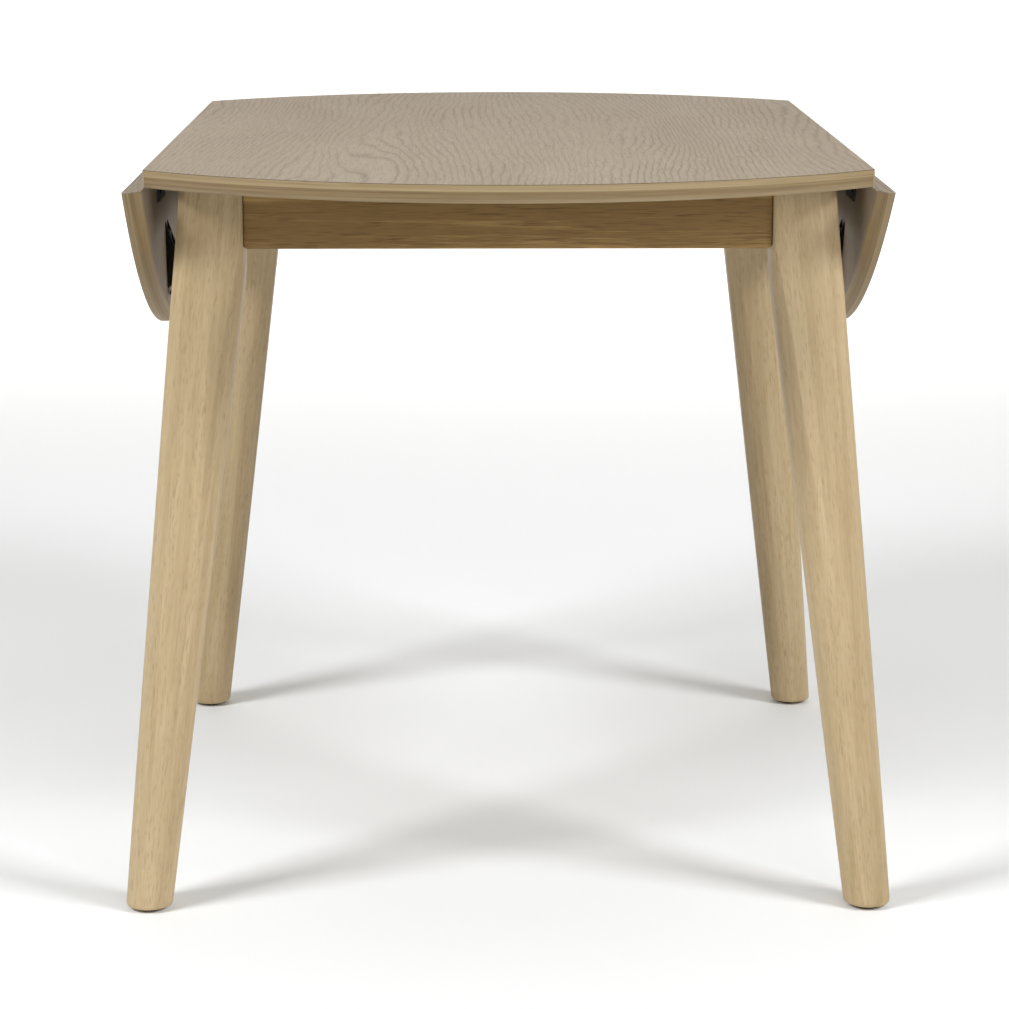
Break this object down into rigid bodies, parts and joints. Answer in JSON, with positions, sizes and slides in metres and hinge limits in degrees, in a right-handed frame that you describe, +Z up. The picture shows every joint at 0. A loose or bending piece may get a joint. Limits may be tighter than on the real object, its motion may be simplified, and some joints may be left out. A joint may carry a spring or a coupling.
{
  "type": "drop leaf table",
  "caption": "Round drop leaf table in oak: a fixed middle panel on splayed tapered legs, with hanging half-moon leaves that lift level and rest on black folding stays.",
  "frame": {"origin": "floor level, under the centre of the table", "axes": "+Z up; Y along the hinge lines, the front is -Y; +X towards the right leaf"},
  "size_m": [0.7752, 1.06, 0.75],
  "materials": {
    "oak_veneer": "matt lacquered crown-cut oak veneer, greige",
    "oak_lipping": "matt lacquered solid oak",
    "oak_leg": "matt lacquered solid oak",
    "oak_apron": "matt lacquered solid oak",
    "block_wood": "planed, unfinished",
    "zinc_steel": "bright zinc plated",
    "black_steel": "black powder coat",
    "black_plastic": "moulded"
  },
  "bodies": {
    "frame": {"top_panel": "oak_veneer", "top_lipping_front": "oak_lipping", "top_lipping_rear": "oak_lipping", "leg_front_left": "oak_leg", "leg_front_right": "oak_leg", "leg_rear_left": "oak_leg", "leg_rear_right": "oak_leg", "apron_front": "oak_apron", "apron_rear": "oak_apron", "apron_left": "oak_apron", "apron_right": "oak_apron", "corner_block_front_left": "block_wood", "leg_bolt_front_left": "zinc_steel", "leg_nut_front_left": "zinc_steel", "foot_glide_front_left": "black_plastic", "hinge_plate_fixed_front_left": "black_steel", "hinge_pin_front_left": "black_steel", "stay_bracket_front_left": "black_steel", "stay_pin_front_left": "zinc_steel", "corner_block_front_right": "block_wood", "leg_bolt_front_right": "zinc_steel", "leg_nut_front_right": "zinc_steel", "foot_glide_front_right": "black_plastic", "hinge_plate_fixed_front_right": "black_steel", "hinge_pin_front_right": "black_steel", "stay_bracket_front_right": "black_steel", "stay_pin_front_right": "zinc_steel", "corner_block_rear_left": "block_wood", "leg_bolt_rear_left": "zinc_steel", "leg_nut_rear_left": "zinc_steel", "foot_glide_rear_left": "black_plastic", "hinge_plate_fixed_rear_left": "black_steel", "hinge_pin_rear_left": "black_steel", "stay_bracket_rear_left": "black_steel", "stay_pin_rear_left": "zinc_steel", "corner_block_rear_right": "block_wood", "leg_bolt_rear_right": "zinc_steel", "leg_nut_rear_right": "zinc_steel", "foot_glide_rear_right": "black_plastic", "hinge_plate_fixed_rear_right": "black_steel", "hinge_pin_rear_right": "black_steel", "stay_bracket_rear_right": "black_steel", "stay_pin_rear_right": "zinc_steel"},
    "leaf_left": {"leaf_left": "oak_veneer", "leaf_lipping_left": "oak_lipping", "hinge_plate_leaf_front_left": "black_steel", "stay_catch_front_left": "black_steel", "hinge_plate_leaf_rear_left": "black_steel", "stay_catch_rear_left": "black_steel"},
    "leaf_right": {"leaf_right": "oak_veneer", "leaf_lipping_right": "oak_lipping", "hinge_plate_leaf_front_right": "black_steel", "stay_catch_front_right": "black_steel", "hinge_plate_leaf_rear_right": "black_steel", "stay_catch_rear_right": "black_steel"},
    "stay_front_left": {"stay_arm_front_left": "black_steel"},
    "stay_front_right": {"stay_arm_front_right": "black_steel"},
    "stay_rear_left": {"stay_arm_rear_left": "black_steel"},
    "stay_rear_right": {"stay_arm_rear_right": "black_steel"}
  },
  "joints": [
    {"name": "leaf_left_hinge", "type": "hinge", "parent": "frame", "child": "leaf_left", "pos_m": [-0.35, 0, 0.7292], "axis": [0, 1, 0], "range_deg": [0, 91]},
    {"name": "leaf_right_hinge", "type": "hinge", "parent": "frame", "child": "leaf_right", "pos_m": [0.35, 0, 0.7292], "axis": [0, -1, 0], "range_deg": [0, 93]},
    {"name": "stay_front_left_pivot", "type": "hinge", "parent": "frame", "child": "stay_front_left", "pos_m": [-0.325, -0.166, 0.7012], "axis": [0, 1, 0], "range_deg": [0, 91]},
    {"name": "stay_front_right_pivot", "type": "hinge", "parent": "frame", "child": "stay_front_right", "pos_m": [0.325, -0.166, 0.7012], "axis": [0, -1, 0], "range_deg": [0, 93]},
    {"name": "stay_rear_left_pivot", "type": "hinge", "parent": "frame", "child": "stay_rear_left", "pos_m": [-0.325, 0.166, 0.7012], "axis": [0, 1, 0], "range_deg": [0, 91]},
    {"name": "stay_rear_right_pivot", "type": "hinge", "parent": "frame", "child": "stay_rear_right", "pos_m": [0.325, 0.166, 0.7012], "axis": [0, -1, 0], "range_deg": [0, 93]}
  ],
  "couplings": [
    {"joint": "stay_front_left_pivot", "follows": "leaf_left_hinge", "ratio": 1},
    {"joint": "stay_front_right_pivot", "follows": "leaf_right_hinge", "ratio": 1},
    {"joint": "stay_rear_left_pivot", "follows": "leaf_left_hinge", "ratio": 1},
    {"joint": "stay_rear_right_pivot", "follows": "leaf_right_hinge", "ratio": 1}
  ]
}
